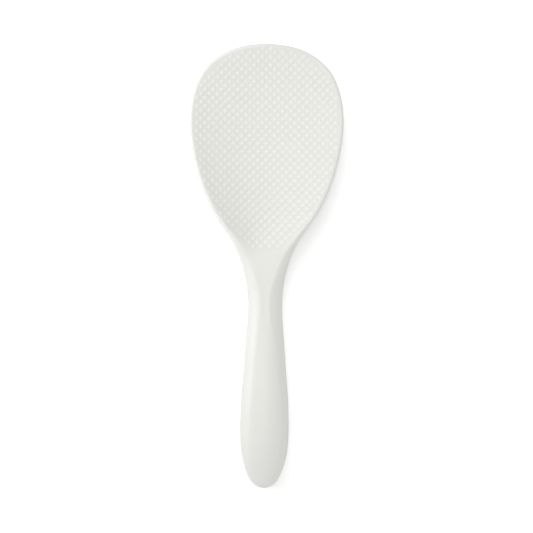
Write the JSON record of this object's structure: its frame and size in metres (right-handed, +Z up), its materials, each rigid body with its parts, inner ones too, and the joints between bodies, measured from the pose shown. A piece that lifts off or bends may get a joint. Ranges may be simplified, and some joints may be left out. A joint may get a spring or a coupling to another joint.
{
  "type": "rice paddle",
  "caption": "Dished rice paddle with a rounded hollow handle that holds a balance weight, so that the blade rests clear of the table.",
  "frame": {"origin": "on the table, under the middle of the paddle's length", "axes": "+Y to the tip of the blade, +X to the right, +Z up, out of the dish"},
  "size_m": [0.0694, 0.2, 0.018],
  "materials": {
    "white_plastic": "satin",
    "weight_steel": "satin",
    "pad_silicone": "matte"
  },
  "bodies": {
    "root": {"paddle_body": "white_plastic", "handle_back_shell": "white_plastic", "balance_weight": "weight_steel", "weight_pad_tail": "pad_silicone", "weight_pad_neck": "pad_silicone"}
  },
  "joints": []
}
